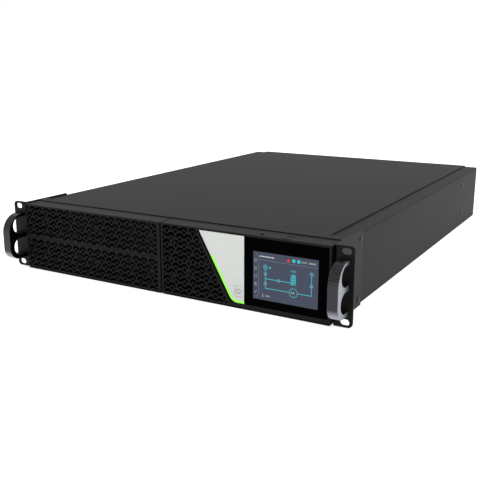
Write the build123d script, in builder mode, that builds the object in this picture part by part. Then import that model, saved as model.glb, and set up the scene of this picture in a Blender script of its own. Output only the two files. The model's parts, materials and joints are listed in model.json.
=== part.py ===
"""Two-unit rack uninterruptible power supply, built from its separate pieces.

Frame: X to the right seen from the front, -Y is the front, +Z up. The origin is the centre of the
footprint, on the bottom face. All sizes are millimetres. "Depth" is the distance behind the front
face of the rack ears.
"""
from build123d import *
from math import cos, hypot, radians, sin
import os

# Overall sizes
CHASSIS_WIDTH = 438.0
HALF_WIDTH = CHASSIS_WIDTH / 2
CASE_HEIGHT = 88.1
LID_TOP = 87.6
SIDE_STRIP_TOP = 86.0
COVER_SEAM = 85.0
RACK_FACE = -305.0
REAR_DEPTH = 631.0
SHEET = 1.2
COVER_SHEET = 1.0
BEND = 2.0

# Rack ears and their holes
EAR_HALF = 241.3
EAR_THICK = 2.0
EAR_LEG = 76.0
EAR_BOTTOM = 0.3
EAR_CORNER = 5.0
EAR_BEND = 3.0
RACK_HOLE_HALF_X = 232.55
RACK_HOLE_HALF_Z = 38.1
SLOT_LENGTH = 10.5
SLOT_WIDTH = 7.0
MID_HEIGHT = 44.05

# Side screws: depth and height of each
EAR_SCREWS = [(69.3, 79.0), (69.3, 8.5)]
REAR_SIDE_SCREWS = [(535.5, 68.9), (535.5, 23.3)]
SIDE_SCREW_R = 2.0
CLEARANCE = 0.05

# Handles
HANDLE_INNER_X = 223.8
HANDLE_WIDTH = 12.3
HANDLE_REACH = 28.0
HANDLE_TOP = 73.6
HANDLE_BASE = 13.5
HANDLE_TOP_R = 24.0
HANDLE_BASE_R = 15.0
FINGER_UPPER_Z = 58.3
FINGER_UPPER_R = 11.1
FINGER_LOWER_Z = 30.0
FINGER_LOWER_R = 11.4
FINGER_CENTRE = 9.6
GRIP_GROOVES = 9
GRIP_GROOVE_R = 0.75
GRIP_START = 117.0
GRIP_SWEEP = 43.0
HANDLE_EDGE_R = 1.0
HANDLE_SCREW_DEPTH = 6.0
HANDLE_SCREW_R = 1.5
HANDLE_SCREW_HEIGHTS = (71.5, 15.9)

# Front bezels
BEZEL_REACH = 3.9
BEZEL_BACK = 22.2
BEZEL_HALF = 217.4
BEZEL_BOTTOM = 0.1
BEZEL_TOP = 86.6
BEZEL_WALL = 2.2
GRILLE_WALL = 3.0
PANEL_WALL = 4.5
SPLIT_LEFT = 0.2
SPLIT_RIGHT = 2.2

# Grille pattern: rows of ringed holes on bars, with webs from row to row
HOLE_PITCH = 12.03
ROW_PITCH = 8.37
TILE_ROWS = 4
HOLE_SIDE = 4.25
HOLE_CORNER = 1.35
RING_SIDE = 6.75
RING_CORNER = 2.2
ROW_BAR = 2.0
ROW_WEB = 1.85
UPPER_ROW = 78.35
LOWER_ROW = 34.15
LEFT_FIRST_HOLE = -204.3
RIGHT_FIRST_HOLE = 10.7
GRILLE_EDGES_X = (-216.4, -3.9)
UPPER_TILE = (45.0, 84.7)
LOWER_TILE = (3.6, 42.0)
ACCESS_HOLE_X = -213.7
ACCESS_HOLE_R = 3.0

# Accent panel, light guide and display
SLANT = 0.56
ACCENT_TOP = 84.15
ACCENT_BASE = 6.5
ACCENT_LEFT = 55.5
ACCENT_RIGHT = 114.3
ACCENT_CORNER_R = 12.0
ACCENT_THICK = 2.4
GUIDE_WIDTH = 2.7
GUIDE_START_Z = 57.4
GROOVE_WIDTH = 3.0
GRILLE_SLANT_TOP = (49.6, 84.7)
GRILLE_SLANT_BASE = (90.6, 8.9)
BUTTON_CENTRE = (106.8, 20.2)
BUTTON_SIZE = (9.4, 13.6)
BUTTON_TRAVEL = 1.5
GLASS_X = (114.6, 214.9)
GLASS_Z = (6.5, 84.05)
GLASS_THICK = 1.2
SCREEN_X = (125.2, 203.5)
SCREEN_Z = (15.5, 69.4)
TAB_X = 164.4
TAB_SIZE = (11.2, 9.6)
TAB_DEPTH = 5.2

# Battery pack
BATTERY = (94.0, 151.0, 65.0)
BATTERY_GAP = 3.0
PACK_CENTRE_X = -108.0
PACK_FRONT = 26.5
TRAY_FLOOR_Z = 2.4
TRAY_WIDTH = 198.0
TRAY_LENGTH = 468.0
BAY_WALL_X = -2.0
BAY_REAR = 506.0
FRAME_DEPTH = 24.0
PLATE_DEPTH = 22.5
STUD_PLACES = [(x, z) for x in (-179.0, -99.0, -12.0) for z in (67.0, 23.0)]
STUD_R = 2.6
BOSS_R = 4.4

# Rear panel
FAN_SIZE = 80.0
FAN_DEPTH = 25.0
FAN_BORE_R = 38.0
FAN_SCREW_PITCH = 71.5
FAN_X = (172.0, 88.0)
FAN_Z = 42.5
OUTLET_PITCH = 31.0
OUTLET_BANK_X = -103.0
OUTLET_BANK_Z = (61.0, 25.0)
INLET_PLACE = (-192.0, 57.0)
BREAKER_PLACE = (-192.0, 20.0)
SLOT_COVER_PLACE = (2.0, 62.0)
SLOT_COVER_SIZE = (66.0, 34.0)
USB_PLACE = (-22.0, 32.0)
SERIAL_PLACE = (8.0, 32.0)
EPO_PLACE = (32.0, 30.0)
BATTERY_SOCKET_PLACE = (-8.0, 13.0)
GROUND_PLACE = (32.0, 11.5)


def at(depth):
    """Y of a depth behind the face of the rack ears."""
    return RACK_FACE + depth


def facing_front(depth):
    """Sketch plane across the case: local x is X, local y is Z, normal towards the front."""
    return Plane.XZ.offset(-at(depth))


def facing_side(x):
    """Sketch plane along the case: local x is Y, local y is Z, normal towards +X."""
    return Plane.YZ.offset(x)


def facing_rear(depth, x, z):
    """Part plane on the rear panel: its normal points out of the back of the case."""
    return Plane(origin=(x, at(depth), z), x_dir=(1, 0, 0), z_dir=(0, 1, 0))


def save(piece, name):
    """Label one finished piece and write it."""
    piece.label = name
    export_step(piece, f"parts/{name}.step")


def mirrored(piece):
    """The same piece on the other side of the case."""
    return mirror(piece, about=Plane.YZ)


os.makedirs("parts", exist_ok=True)


# ---------------------------------------------------------------- sheet-metal case
COVER_FRONT = 22.4
BAND_END = 37.0
PLATEAU_HALF = 198.5
side_hole_places = [(at(d), z) for d, z in EAR_SCREWS + REAR_SIDE_SCREWS]

with BuildPart() as chassis_base:
    with BuildSketch(facing_front(COVER_FRONT)):
        with Locations((0, COVER_SEAM / 2)):
            RectangleRounded(CHASSIS_WIDTH, COVER_SEAM, BEND)
            RectangleRounded(CHASSIS_WIDTH - 2 * SHEET, COVER_SEAM - 2 * SHEET, BEND - SHEET,
                             mode=Mode.SUBTRACT)
        with Locations((0, COVER_SEAM)):
            Rectangle(2 * PLATEAU_HALF, 6 * SHEET, mode=Mode.SUBTRACT)
    extrude(amount=-(REAR_DEPTH - COVER_FRONT))
    with BuildSketch(facing_side(0)):
        with Locations(*side_hole_places):
            Circle(SIDE_SCREW_R + CLEARANCE)
    extrude(amount=HALF_WIDTH + SHEET, both=True, mode=Mode.SUBTRACT)
save(chassis_base.part, "chassis_base")

LIP_BOTTOM = 81.6
COVER_SCREW_X = (-150.0, -50.0, 50.0, 130.0)
COVER_SCREW_Z = 84.2
PANEL_SCREW_R = 1.5
COVER_LIP = 0.9
strip_outline = [
    (-HALF_WIDTH, COVER_SEAM), (-HALF_WIDTH, SIDE_STRIP_TOP), (-PLATEAU_HALF, SIDE_STRIP_TOP),
    (-PLATEAU_HALF, LID_TOP), (PLATEAU_HALF, LID_TOP), (PLATEAU_HALF, SIDE_STRIP_TOP),
    (HALF_WIDTH, SIDE_STRIP_TOP), (HALF_WIDTH, COVER_SEAM),
    (PLATEAU_HALF - COVER_SHEET, COVER_SEAM), (PLATEAU_HALF - COVER_SHEET, LID_TOP - COVER_SHEET),
    (COVER_SHEET - PLATEAU_HALF, LID_TOP - COVER_SHEET), (COVER_SHEET - PLATEAU_HALF, COVER_SEAM),
]

with BuildPart() as top_cover:
    with BuildSketch(facing_front(COVER_FRONT)):
        with Locations((0, (COVER_SEAM + LID_TOP) / 2)):
            Rectangle(CHASSIS_WIDTH, LID_TOP - COVER_SEAM)
        with Locations((0, (COVER_SEAM + LID_TOP) / 2 - COVER_SHEET)):
            Rectangle(CHASSIS_WIDTH - 2 * COVER_SHEET, LID_TOP - COVER_SEAM, mode=Mode.SUBTRACT)
    extrude(amount=COVER_FRONT - BAND_END)
    with BuildSketch(facing_front(BAND_END - COVER_SHEET)):
        Polygon(*strip_outline, align=None)
    extrude(amount=-(REAR_DEPTH - BAND_END + COVER_SHEET))
    with BuildSketch(facing_front(REAR_DEPTH)):
        with Locations((0, (LIP_BOTTOM + LID_TOP) / 2)):
            Rectangle(2 * PLATEAU_HALF, LID_TOP - LIP_BOTTOM)
    extrude(amount=-COVER_LIP)
    with BuildSketch(facing_front(REAR_DEPTH - SHEET)):
        with Locations(*[(x, COVER_SCREW_Z) for x in COVER_SCREW_X]):
            Circle(PANEL_SCREW_R + CLEARANCE)
    extrude(amount=-2 * SHEET - COVER_LIP, mode=Mode.SUBTRACT)
save(top_cover.part, "top_cover")

# ---------------------------------------------------------------- rack ears and handles
with BuildPart() as right_ear:
    with BuildSketch(Plane.XY.offset(EAR_BOTTOM)):
        with BuildLine():
            Polyline((EAR_HALF, at(0)), (HALF_WIDTH, at(0)), (HALF_WIDTH, at(EAR_LEG)),
                     (HALF_WIDTH + EAR_THICK, at(EAR_LEG)), (HALF_WIDTH + EAR_THICK, at(EAR_THICK)),
                     (EAR_HALF, at(EAR_THICK)), close=True)
        make_face()
    extrude(amount=CASE_HEIGHT - EAR_BOTTOM)
    outer_bend = right_ear.edges().filter_by(Axis.Z).sort_by_distance((HALF_WIDTH, at(0), MID_HEIGHT))[0]
    fillet(outer_bend, radius=EAR_BEND)
    inner_corner = (HALF_WIDTH + EAR_THICK, at(EAR_THICK), MID_HEIGHT)
    inner_bend = right_ear.edges().filter_by(Axis.Z).sort_by_distance(inner_corner)[0]
    fillet(inner_bend, radius=EAR_BEND - EAR_THICK)
    flange_corners = right_ear.edges().filter_by(Axis.Y).group_by(Axis.X)[-1]
    fillet(flange_corners, radius=EAR_CORNER)
    with BuildSketch(facing_front(0)):
        with Locations((RACK_HOLE_HALF_X, MID_HEIGHT)):
            with GridLocations(0, 2 * RACK_HOLE_HALF_Z, 1, 2):
                SlotOverall(SLOT_LENGTH, SLOT_WIDTH)
        with Locations(*[(HANDLE_INNER_X + HANDLE_WIDTH / 2, z) for z in HANDLE_SCREW_HEIGHTS]):
            Circle(HANDLE_SCREW_R + CLEARANCE)
    extrude(amount=-EAR_THICK, mode=Mode.SUBTRACT)
    with BuildSketch(facing_side(HALF_WIDTH)):
        with Locations(*side_hole_places):
            Circle(SIDE_SCREW_R + CLEARANCE)
    extrude(amount=EAR_THICK, mode=Mode.SUBTRACT)
save(right_ear.part, "right_ear")
save(mirrored(right_ear.part), "left_ear")

front_y = at(-HANDLE_REACH)
top_arc_y = front_y + HANDLE_TOP_R
base_arc_y = front_y + HANDLE_BASE_R
top_arc_z = HANDLE_TOP - HANDLE_TOP_R
base_arc_z = HANDLE_BASE + HANDLE_BASE_R
groove_angles = [GRIP_START + GRIP_SWEEP * i / (GRIP_GROOVES - 1) for i in range(GRIP_GROOVES)]
groove_places = [
    (top_arc_y + HANDLE_TOP_R * cos(radians(a)), top_arc_z + HANDLE_TOP_R * sin(radians(a)))
    for a in groove_angles
]

with BuildPart() as right_handle:
    with BuildSketch(facing_side(HANDLE_INNER_X)):
        with BuildLine():
            Line((at(0), HANDLE_BASE), (base_arc_y, HANDLE_BASE))
            CenterArc((base_arc_y, base_arc_z), HANDLE_BASE_R, 180, 90)
            Line((front_y, base_arc_z), (front_y, top_arc_z))
            CenterArc((top_arc_y, top_arc_z), HANDLE_TOP_R, 90, 90)
            Line((top_arc_y, HANDLE_TOP), (at(0), HANDLE_TOP))
            Line((at(0), HANDLE_TOP), (at(0), HANDLE_BASE))
        make_face()
        for centre_z, finger_r in ((FINGER_UPPER_Z, FINGER_UPPER_R), (FINGER_LOWER_Z, FINGER_LOWER_R)):
            with Locations((at(-FINGER_CENTRE), centre_z)):
                Circle(finger_r, mode=Mode.SUBTRACT)
            with Locations((at(-FINGER_CENTRE / 2), centre_z)):
                Rectangle(FINGER_CENTRE, 2 * finger_r, mode=Mode.SUBTRACT)
    extrude(amount=HANDLE_WIDTH)
    long_edges = right_handle.edges().filter_by(Axis.Z).group_by(Axis.Y)[0]
    fillet(long_edges, radius=HANDLE_EDGE_R)
    with BuildSketch(facing_side(HANDLE_INNER_X)):
        with Locations(*groove_places):
            Circle(GRIP_GROOVE_R)
    extrude(amount=HANDLE_WIDTH, mode=Mode.SUBTRACT)
    with BuildSketch(facing_front(0)):
        with Locations(*[(HANDLE_INNER_X + HANDLE_WIDTH / 2, z) for z in HANDLE_SCREW_HEIGHTS]):
            Circle(HANDLE_SCREW_R + CLEARANCE)
    extrude(amount=HANDLE_SCREW_DEPTH, mode=Mode.SUBTRACT)
save(right_handle.part, "right_handle")
save(mirrored(right_handle.part), "left_handle")


# ---------------------------------------------------------------- grille pattern
def grille_sketch(top_row, first_x, web_phase, columns, holed_rows, outline):
    """Openings of one grille tile, inside an outline.

    Rows are counted down from 0, the top row of holes, and every other row is shifted by half a pitch. A row
    is a bar with rings on it, and webs hang from every second ring. holed_rows are the rows with open rings.
    """
    rows = range(-1, TILE_ROWS + 1)
    steps = range(-2, columns + 1)
    width = (columns + 4) * HOLE_PITCH
    middle_x = first_x + columns / 2 * HOLE_PITCH
    ring_rows = {
        row: [(first_x + (i + row % 2 / 2) * HOLE_PITCH, top_row - row * ROW_PITCH) for i in steps]
        for row in rows
    }
    webs = [
        (x, z - ROW_PITCH / 2)
        for row in rows
        for i, (x, z) in zip(steps, ring_rows[row])
        if (i + row + web_phase) % 2 == 0
    ]
    with BuildSketch() as pattern:
        with Locations((middle_x, top_row + ROW_PITCH - (TILE_ROWS + 1) * ROW_PITCH / 2)):
            Rectangle(width, (TILE_ROWS + 1) * ROW_PITCH)
        with Locations(*[(middle_x, top_row - row * ROW_PITCH) for row in rows]):
            Rectangle(width, ROW_BAR, mode=Mode.SUBTRACT)
        with Locations(*[place for row in rows for place in ring_rows[row]]):
            RectangleRounded(RING_SIDE, RING_SIDE, RING_CORNER, rotation=45, mode=Mode.SUBTRACT)
        with Locations(*webs):
            Rectangle(ROW_WEB, ROW_PITCH, mode=Mode.SUBTRACT)
        with Locations(*[place for row in holed_rows for place in ring_rows[row]]):
            RectangleRounded(HOLE_SIDE, HOLE_SIDE, HOLE_CORNER, rotation=45)
        with BuildLine():
            Polyline(*outline, close=True)
        make_face(mode=Mode.INTERSECT)
    return pattern.sketch


# ---------------------------------------------------------------- front bezels
bezel_front = at(-BEZEL_REACH)
bezel_back = at(BEZEL_BACK)
bezel_outline = [
    (bezel_back, BEZEL_BOTTOM), (bezel_front, BEZEL_BOTTOM), (bezel_front, 0.9),
    (bezel_front + 0.9, 1.1), (bezel_front + 0.9, 1.6), (bezel_front, 1.9), (bezel_front, BEZEL_TOP - 0.6),
    (bezel_front + 0.6, BEZEL_TOP), (bezel_back, BEZEL_TOP),
]
CAVITY_Z = (3.0, 84.4)
SEAM_Z = 43.6
SEAM_WIDTH = 0.7
SLIT_DEPTH = 2.0
BOSS_END = 20.0
BOSS_START = -2.2
SOCKET_END = 12.5
RUNNING_GAP = 0.08


def rectangle_points(x_range, z_range):
    """Corners of an upright rectangle."""
    left, right = x_range
    low, high = z_range
    return [(left, low), (right, low), (right, high), (left, high)]


def bezel_blank(x_start, x_end):
    """Solid bar with the bezel's front profile."""
    with BuildSketch(facing_side(x_start)) as section:
        Polygon(*bezel_outline, align=None)
    extrude(section.sketch, amount=x_end - x_start)


def hollow(points, wall):
    """Hollow the current bezel from behind, leaving its front wall."""
    with BuildSketch(facing_front(wall - BEZEL_REACH)) as cavity:
        Polygon(*points, align=None)
    extrude(cavity.sketch, amount=wall - BEZEL_REACH - BEZEL_BACK - 1, mode=Mode.SUBTRACT)


tile_holes = range(TILE_ROWS)
left_upper = grille_sketch(UPPER_ROW, LEFT_FIRST_HOLE, 0, 17, tile_holes,
                           rectangle_points(GRILLE_EDGES_X, UPPER_TILE))
left_lower = grille_sketch(LOWER_ROW, LEFT_FIRST_HOLE, 0, 17, tile_holes,
                           rectangle_points(GRILLE_EDGES_X, LOWER_TILE))

with BuildPart() as battery_bezel:
    bezel_blank(-BEZEL_HALF, SPLIT_LEFT)
    hollow(rectangle_points((BEZEL_WALL - BEZEL_HALF, SPLIT_LEFT - BEZEL_WALL), CAVITY_Z), GRILLE_WALL)
    with BuildSketch(facing_front(-BEZEL_REACH)):
        add(left_upper)
        add(left_lower)
    extrude(amount=-GRILLE_WALL, mode=Mode.SUBTRACT)
    with BuildSketch(facing_front(-BEZEL_REACH)):
        with Locations((sum(GRILLE_EDGES_X) / 2, SEAM_Z)):
            Rectangle(GRILLE_EDGES_X[1] - GRILLE_EDGES_X[0] + 4, SEAM_WIDTH)
    extrude(amount=-SEAM_WIDTH, mode=Mode.SUBTRACT)
    with BuildSketch(facing_front(-BEZEL_REACH)):
        with Locations((ACCESS_HOLE_X, 66.0), (ACCESS_HOLE_X, 21.8)):
            Circle(ACCESS_HOLE_R)
    extrude(amount=-GRILLE_WALL, mode=Mode.SUBTRACT)
    with BuildSketch(facing_front(BOSS_START)):
        with Locations(*STUD_PLACES):
            Circle(BOSS_R)
    extrude(amount=BOSS_START - BOSS_END)
    with BuildSketch(facing_front(BOSS_END)):
        with Locations(*STUD_PLACES):
            Circle(STUD_R + RUNNING_GAP)
    extrude(amount=BOSS_END - SOCKET_END, mode=Mode.SUBTRACT)
save(battery_bezel.part, "battery_bezel")

right_outline = [
    (4.4, 3.6), (4.4, GRILLE_SLANT_TOP[1]), GRILLE_SLANT_TOP, GRILLE_SLANT_BASE, (93.6, 3.6),
]
right_upper = grille_sketch(UPPER_ROW, RIGHT_FIRST_HOLE, 1, 8, range(TILE_ROWS + 1), right_outline)
right_lower = grille_sketch(LOWER_ROW, RIGHT_FIRST_HOLE, 1, 8, range(-1, TILE_ROWS), right_outline)

MAIN_BOSSES = [(17.0, 24.0), (38.0, 29.0), (17.0, 67.0)]
FRAME_GAP = 0.2
slant_run = SLANT * (ACCENT_TOP - ACCENT_BASE)
accent_corner = (ACCENT_LEFT + slant_run, ACCENT_BASE)
accent_outline = [
    (ACCENT_LEFT, ACCENT_TOP), accent_corner, (ACCENT_RIGHT, ACCENT_BASE), (ACCENT_RIGHT, ACCENT_TOP),
]
pocket_outline = [
    (ACCENT_LEFT - GROOVE_WIDTH, ACCENT_TOP + FRAME_GAP),
    (accent_corner[0] - GROOVE_WIDTH, ACCENT_BASE - FRAME_GAP),
    (GLASS_X[1] + FRAME_GAP, ACCENT_BASE - FRAME_GAP),
    (GLASS_X[1] + FRAME_GAP, ACCENT_TOP + FRAME_GAP),
]
SCREEN_LEDGE = 3.0
TAB_GAP = 2.0
TAB_THICK = 1.8
TAB_TRAVEL = 1.5
NOTCH_SPARE = 0.3
glass_middle = (sum(GLASS_X) / 2, sum(GLASS_Z) / 2)
window_size = (GLASS_X[1] - GLASS_X[0] - 2 * SCREEN_LEDGE, GLASS_Z[1] - GLASS_Z[0] - 2 * SCREEN_LEDGE)

with BuildPart() as main_bezel:
    bezel_blank(SPLIT_RIGHT, BEZEL_HALF)
    hollow([(4.4, CAVITY_Z[0]), (4.4, CAVITY_Z[1]), (50.5, CAVITY_Z[1]), (94.5, CAVITY_Z[0])], GRILLE_WALL)
    hollow([(55.0, CAVITY_Z[1]), (99.0, CAVITY_Z[0]), (BEZEL_HALF - BEZEL_WALL, CAVITY_Z[0]),
            (BEZEL_HALF - BEZEL_WALL, CAVITY_Z[1])], PANEL_WALL)
    with BuildSketch(facing_front(-BEZEL_REACH)):
        add(right_upper)
        add(right_lower)
    extrude(amount=-GRILLE_WALL, mode=Mode.SUBTRACT)
    with BuildSketch(facing_front(-BEZEL_REACH)):
        Polygon(*pocket_outline, align=None)
    extrude(amount=-ACCENT_THICK, mode=Mode.SUBTRACT)
    with BuildSketch(facing_front(-BEZEL_REACH)):
        with Locations(glass_middle):
            Rectangle(*window_size)
        with Locations(BUTTON_CENTRE):
            RectangleRounded(*BUTTON_SIZE, 2.0)
    extrude(amount=-PANEL_WALL, mode=Mode.SUBTRACT)
    with BuildSketch(Plane.XY.offset(BEZEL_TOP)):
        with Locations((TAB_X, at(TAB_DEPTH))):
            Rectangle(TAB_SIZE[0] + 2 * FRAME_GAP, TAB_SIZE[1] + 2 * TAB_GAP)
    extrude(amount=-(TAB_THICK + TAB_TRAVEL + NOTCH_SPARE), mode=Mode.SUBTRACT)
    with BuildSketch(Plane.XY.offset(BEZEL_TOP)):
        with Locations((125.0, at(4.5)), (200.3, at(6.0))):
            Rectangle(0.7, 8.5)
        with Locations((131.5, at(5.6))):
            Circle(2.7)
    extrude(amount=-SLIT_DEPTH, mode=Mode.SUBTRACT)
    with BuildSketch(facing_front(BOSS_START)):
        with Locations(*MAIN_BOSSES):
            Circle(BOSS_R)
    extrude(amount=BOSS_START - FRAME_DEPTH + FRAME_GAP)
save(main_bezel.part, "main_bezel")

guide_inset = GUIDE_WIDTH / 2 * hypot(1, SLANT)
guide_base = ACCENT_BASE + GUIDE_WIDTH / 2
guide_points = [
    (ACCENT_LEFT + SLANT * (ACCENT_TOP - GUIDE_START_Z) + guide_inset, GUIDE_START_Z),
    (ACCENT_LEFT + SLANT * (ACCENT_TOP - guide_base) + guide_inset, guide_base),
    (ACCENT_RIGHT, guide_base),
]
guide_radius = ACCENT_CORNER_R - GUIDE_WIDTH / 2

with BuildPart() as accent_panel:
    with BuildSketch(facing_front(-BEZEL_REACH)) as accent_sketch:
        Polygon(*accent_outline, align=None)
        corner = accent_sketch.vertices().sort_by_distance((*accent_corner, 0))[0]
        fillet(corner, radius=ACCENT_CORNER_R)
    extrude(amount=FRAME_GAP / 2 - ACCENT_THICK)
    with BuildSketch(facing_front(-BEZEL_REACH)):
        with BuildLine():
            FilletPolyline(*guide_points, radius=guide_radius)
        trace(line_width=GUIDE_WIDTH + RUNNING_GAP)
    extrude(amount=-ACCENT_THICK, mode=Mode.SUBTRACT)
    with BuildSketch(facing_front(-BEZEL_REACH)):
        with Locations(BUTTON_CENTRE):
            RectangleRounded(BUTTON_SIZE[0], BUTTON_SIZE[1], 2.0)
    extrude(amount=-ACCENT_THICK, mode=Mode.SUBTRACT)
save(accent_panel.part, "accent_panel")

with BuildPart() as light_guide:
    with BuildSketch(facing_front(-BEZEL_REACH)):
        with BuildLine():
            FilletPolyline(*guide_points, radius=guide_radius)
        trace(line_width=GUIDE_WIDTH)
    extrude(amount=FRAME_GAP / 2 - ACCENT_THICK)
save(light_guide.part, "light_guide")

BUTTON_DEPTH = 6.0
BUTTON_GAP = 0.15
STEM_R = 2.0
BOARD_DEPTH = 14.0
BOARD_THICK = 1.6
SWITCH_FACE = BUTTON_DEPTH - BEZEL_REACH + 3.0 + BUTTON_TRAVEL + 0.4

with BuildPart() as power_button:
    with BuildSketch(facing_front(-BEZEL_REACH)):
        with Locations(BUTTON_CENTRE):
            RectangleRounded(BUTTON_SIZE[0] - 2 * BUTTON_GAP, BUTTON_SIZE[1] - 2 * BUTTON_GAP, 1.8)
    extrude(amount=-BUTTON_DEPTH)
    front_rim = power_button.faces().sort_by(Axis.Y)[0].edges()
    fillet(front_rim, radius=0.5)
    with BuildSketch(facing_front(BUTTON_DEPTH - BEZEL_REACH)):
        with Locations(BUTTON_CENTRE):
            Circle(STEM_R)
    extrude(amount=-3.0)
save(power_button.part, "power_button")

with BuildPart() as display_glass:
    with BuildSketch(facing_front(-BEZEL_REACH)):
        with Locations(glass_middle):
            RectangleRounded(GLASS_X[1] - GLASS_X[0], GLASS_Z[1] - GLASS_Z[0], 0.6)
    extrude(amount=-GLASS_THICK)
save(display_glass.part, "display_glass")

SCREEN_BORDER = 3.5
SCREEN_THICK = 3.0
screen_front = GLASS_THICK - BEZEL_REACH + 0.05
screen_middle = (sum(SCREEN_X) / 2, sum(SCREEN_Z) / 2)
with BuildPart() as screen_panel:
    with BuildSketch(facing_front(screen_front)):
        with Locations(screen_middle):
            Rectangle(SCREEN_X[1] - SCREEN_X[0] + 2 * SCREEN_BORDER,
                      SCREEN_Z[1] - SCREEN_Z[0] + 2 * SCREEN_BORDER)
    extrude(amount=-SCREEN_THICK)
save(screen_panel.part, "screen_panel")

HOUSING_WALL = 1.6
HOUSING_FRONT = PANEL_WALL - BEZEL_REACH + 0.3
with BuildPart() as display_housing:
    with BuildSketch(facing_front(HOUSING_FRONT)):
        with Locations(glass_middle):
            Rectangle(*window_size)
    extrude(amount=HOUSING_FRONT - BOARD_DEPTH - BOARD_THICK - HOUSING_WALL - 1)
    housing_front_face = display_housing.faces().sort_by(Axis.Y)[0]
    offset(amount=-HOUSING_WALL, openings=housing_front_face)
save(display_housing.part, "display_housing")

housing_inner = (window_size[0] - 2 * HOUSING_WALL - 1, window_size[1] - 2 * HOUSING_WALL - 1)
with BuildPart() as display_board:
    with BuildSketch(facing_front(BOARD_DEPTH)):
        with Locations(glass_middle):
            Rectangle(*housing_inner)
    extrude(amount=-BOARD_THICK)
    with BuildSketch(facing_front(BOARD_DEPTH)):
        with Locations((glass_middle[0] - 20, glass_middle[1])):
            Rectangle(16, 16)
        with Locations((glass_middle[0] + 18, glass_middle[1] - 8)):
            Rectangle(24, 8)
    extrude(amount=2.4)
save(display_board.part, "display_board")

with BuildPart() as button_switch:
    with BuildSketch(facing_front(SWITCH_FACE + 2)):
        with Locations((BUTTON_CENTRE[0] + 1.5, BUTTON_CENTRE[1])):
            RectangleRounded(18, 16, 1.0)
    extrude(amount=-BOARD_THICK)
    with BuildSketch(facing_front(SWITCH_FACE + 2)):
        with Locations(BUTTON_CENTRE):
            Rectangle(6, 6)
    extrude(amount=1.4)
    with BuildSketch(facing_front(SWITCH_FACE + 2)):
        with Locations(BUTTON_CENTRE):
            Circle(1.7)
    extrude(amount=2.0)
save(button_switch.part, "button_switch")

with BuildPart() as release_tab:
    with BuildSketch(Plane.XY.offset(BEZEL_TOP)):
        with Locations((TAB_X, at(TAB_DEPTH))):
            RectangleRounded(*TAB_SIZE, 0.6)
    extrude(amount=-TAB_THICK)
save(release_tab.part, "release_tab")

# ---------------------------------------------------------------- frame behind the bezels
BAY_OPENING_X = (-211.0, -5.0)
BAY_OPENING_TOP = 74.0
THUMBSCREW_Z = 79.6
THUMBSCREW_R = 3.4
THUMB_SHANK_R = 1.5
VENT_SIZE = (3.2, 20.0)
VENT_PITCH = (6.0, 26.0)
FRAME_Z = (1.6, 83.6)

with BuildPart() as front_frame:
    with BuildSketch(facing_front(FRAME_DEPTH)):
        with Locations((0, sum(FRAME_Z) / 2)):
            Rectangle(CHASSIS_WIDTH - 2 * SHEET - 1, FRAME_Z[1] - FRAME_Z[0])
        with Locations((sum(BAY_OPENING_X) / 2, BAY_OPENING_TOP / 2)):
            Rectangle(BAY_OPENING_X[1] - BAY_OPENING_X[0], BAY_OPENING_TOP, mode=Mode.SUBTRACT)
        with Locations((53, MID_HEIGHT)):
            with GridLocations(*VENT_PITCH, 15, 3):
                SlotOverall(VENT_SIZE[1], VENT_SIZE[0], rotation=90, mode=Mode.SUBTRACT)
        with Locations((150, MID_HEIGHT)):
            Rectangle(60, 24, mode=Mode.SUBTRACT)
        with Locations(*[(x, THUMBSCREW_Z) for x in (-190, -26)]):
            Circle(THUMB_SHANK_R + CLEARANCE, mode=Mode.SUBTRACT)
    extrude(amount=-SHEET)
    with BuildSketch(facing_front(FRAME_DEPTH + SHEET)):
        for side in (-1, 1):
            with Locations((side * (HALF_WIDTH - SHEET - 1.1), MID_HEIGHT)):
                Rectangle(SHEET, 60)
    extrude(amount=-12)
save(front_frame.part, "front_frame")

BAY_WALL_TOP = 83.4
with BuildPart() as battery_bay_wall:
    with BuildSketch(Plane.XY.offset(SHEET + 0.1)):
        with BuildLine():
            Polyline((-HALF_WIDTH + SHEET + 0.5, at(BAY_REAR)), (BAY_WALL_X, at(BAY_REAR)),
                     (BAY_WALL_X, at(FRAME_DEPTH + SHEET + 0.1)))
        trace(line_width=SHEET)
    extrude(amount=BAY_WALL_TOP - SHEET)
save(battery_bay_wall.part, "battery_bay_wall")

# ---------------------------------------------------------------- battery pack
tray_back = PLATE_DEPTH + TRAY_LENGTH
PLATE_X = (-214.0, -3.0)
PLATE_Z = (2.4, 83.4)
TRAY_SIDE = 38.0
tray_half = TRAY_WIDTH / 2 + 1.6

with BuildPart() as battery_tray:
    with BuildSketch(facing_front(PLATE_DEPTH)):
        Polygon(*rectangle_points(PLATE_X, PLATE_Z), align=None)
        with Locations(*[(x, THUMBSCREW_Z) for x in (-190, -26)]):
            Circle(THUMB_SHANK_R + CLEARANCE, mode=Mode.SUBTRACT)
    extrude(amount=-SHEET)
    with BuildSketch(Plane.XY.offset(TRAY_FLOOR_Z)):
        with Locations((PACK_CENTRE_X, at(PLATE_DEPTH + TRAY_LENGTH / 2))):
            Rectangle(2 * tray_half, TRAY_LENGTH)
    extrude(amount=TRAY_SIDE)
    with BuildSketch(Plane.XY.offset(TRAY_FLOOR_Z + SHEET)):
        with Locations((PACK_CENTRE_X, at(PLATE_DEPTH + TRAY_LENGTH / 2))):
            Rectangle(2 * tray_half - 2 * SHEET, TRAY_LENGTH - 2 * SHEET)
    extrude(amount=TRAY_SIDE, mode=Mode.SUBTRACT)
save(battery_tray.part, "battery_tray")

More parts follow.
